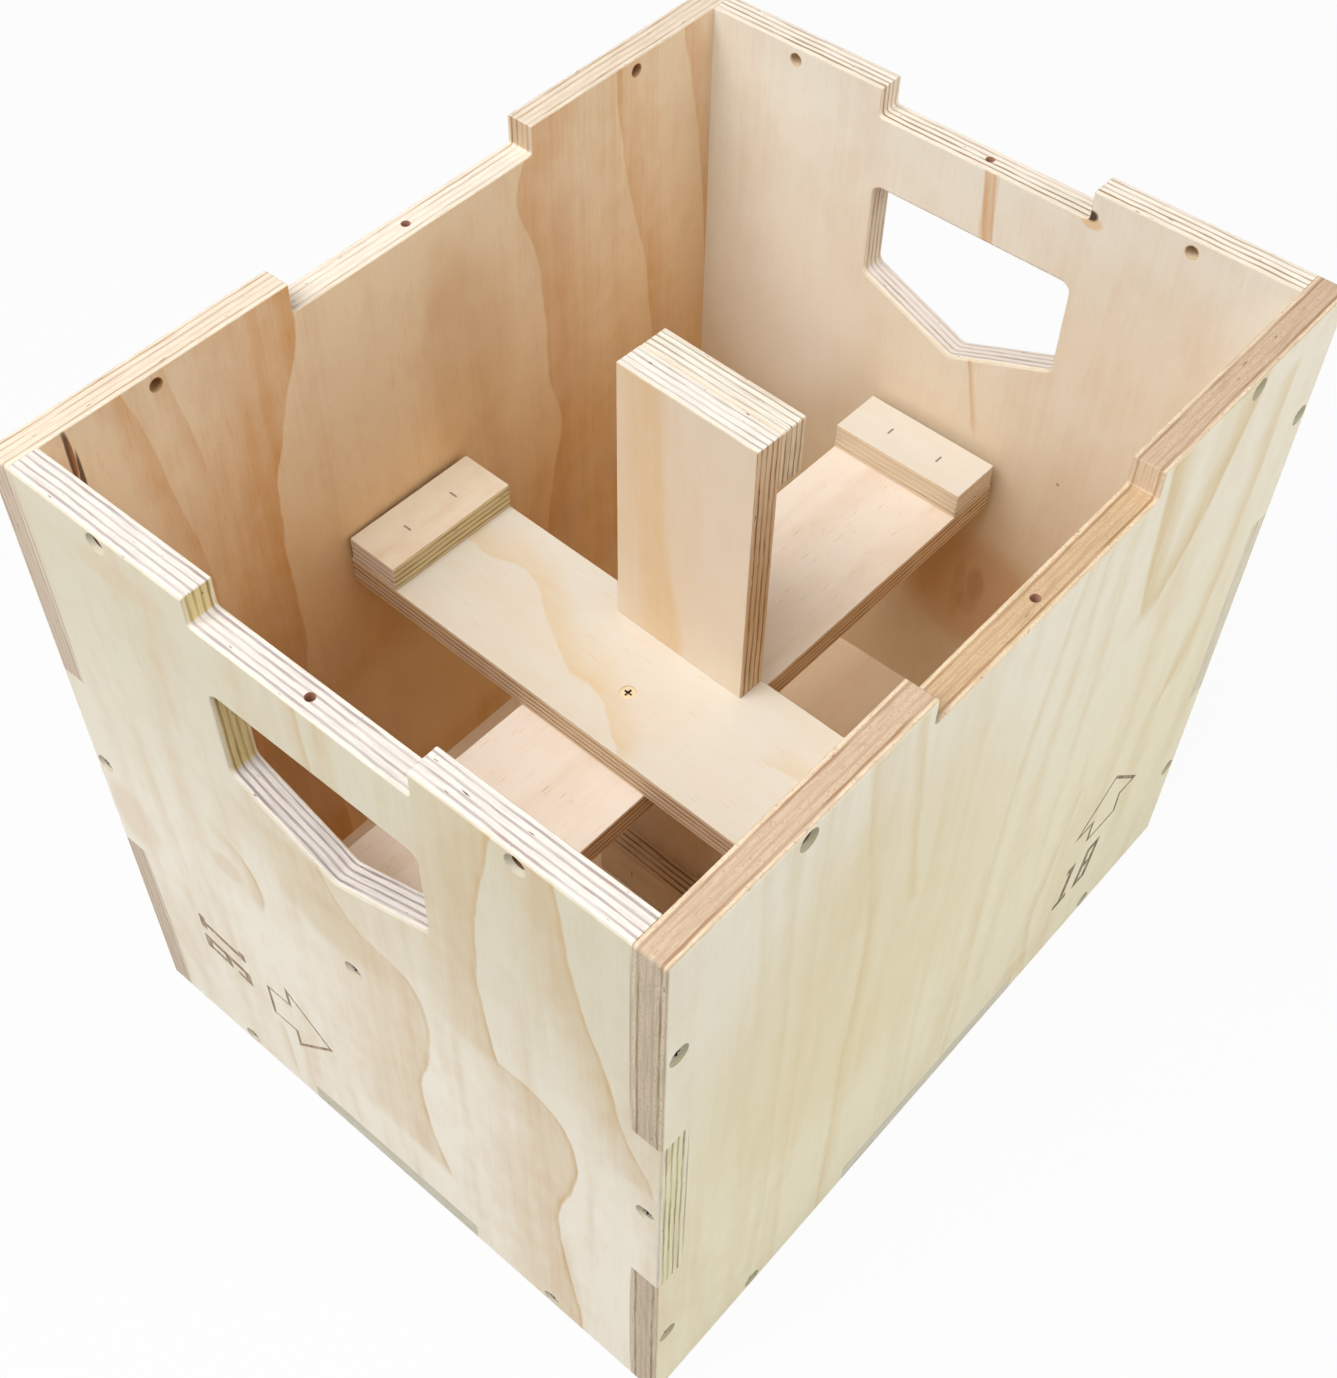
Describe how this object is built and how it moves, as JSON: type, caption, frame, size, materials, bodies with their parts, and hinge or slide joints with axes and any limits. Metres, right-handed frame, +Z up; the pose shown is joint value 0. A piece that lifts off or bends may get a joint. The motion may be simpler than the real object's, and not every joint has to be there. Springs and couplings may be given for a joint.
{
  "type": "plyo box",
  "caption": "Plywood plyo box with finger-jointed corners, pointed hand holes in the ends, crossed bracing inside and an open top seated for a lid.",
  "frame": {"origin": "middle of the base, on the floor", "axes": "+X along the long sides towards the right end, +Y towards the back long side, +Z up"},
  "size_m": [0.508, 0.4064, 0.4572],
  "materials": {
    "wall_plywood": "sanded bare veneer",
    "brace_plywood": "sanded bare veneer",
    "cleat_plywood": "sanded bare veneer",
    "screw_steel": "zinc plated",
    "screw_brass": "yellow passivated",
    "staple_steel": "galvanised"
  },
  "bodies": {
    "root": {"front_long_side": "wall_plywood", "back_long_side": "wall_plywood", "left_end": "wall_plywood", "right_end": "wall_plywood", "bottom_panel": "wall_plywood", "long_brace": "brace_plywood", "cross_brace": "brace_plywood", "upper_post": "brace_plywood", "lower_post": "brace_plywood", "upper_post_cleat": "cleat_plywood", "lower_post_cleat": "cleat_plywood", "back_cleat": "cleat_plywood", "front_cleat": "cleat_plywood", "right_cleat": "cleat_plywood", "corner_screws": "screw_steel", "bottom_panel_screws": "screw_steel", "bottom_tab_screws": "screw_steel", "brace_end_screw": "screw_steel", "crossing_screw": "screw_brass", "cleat_staples": "staple_steel"}
  },
  "joints": []
}
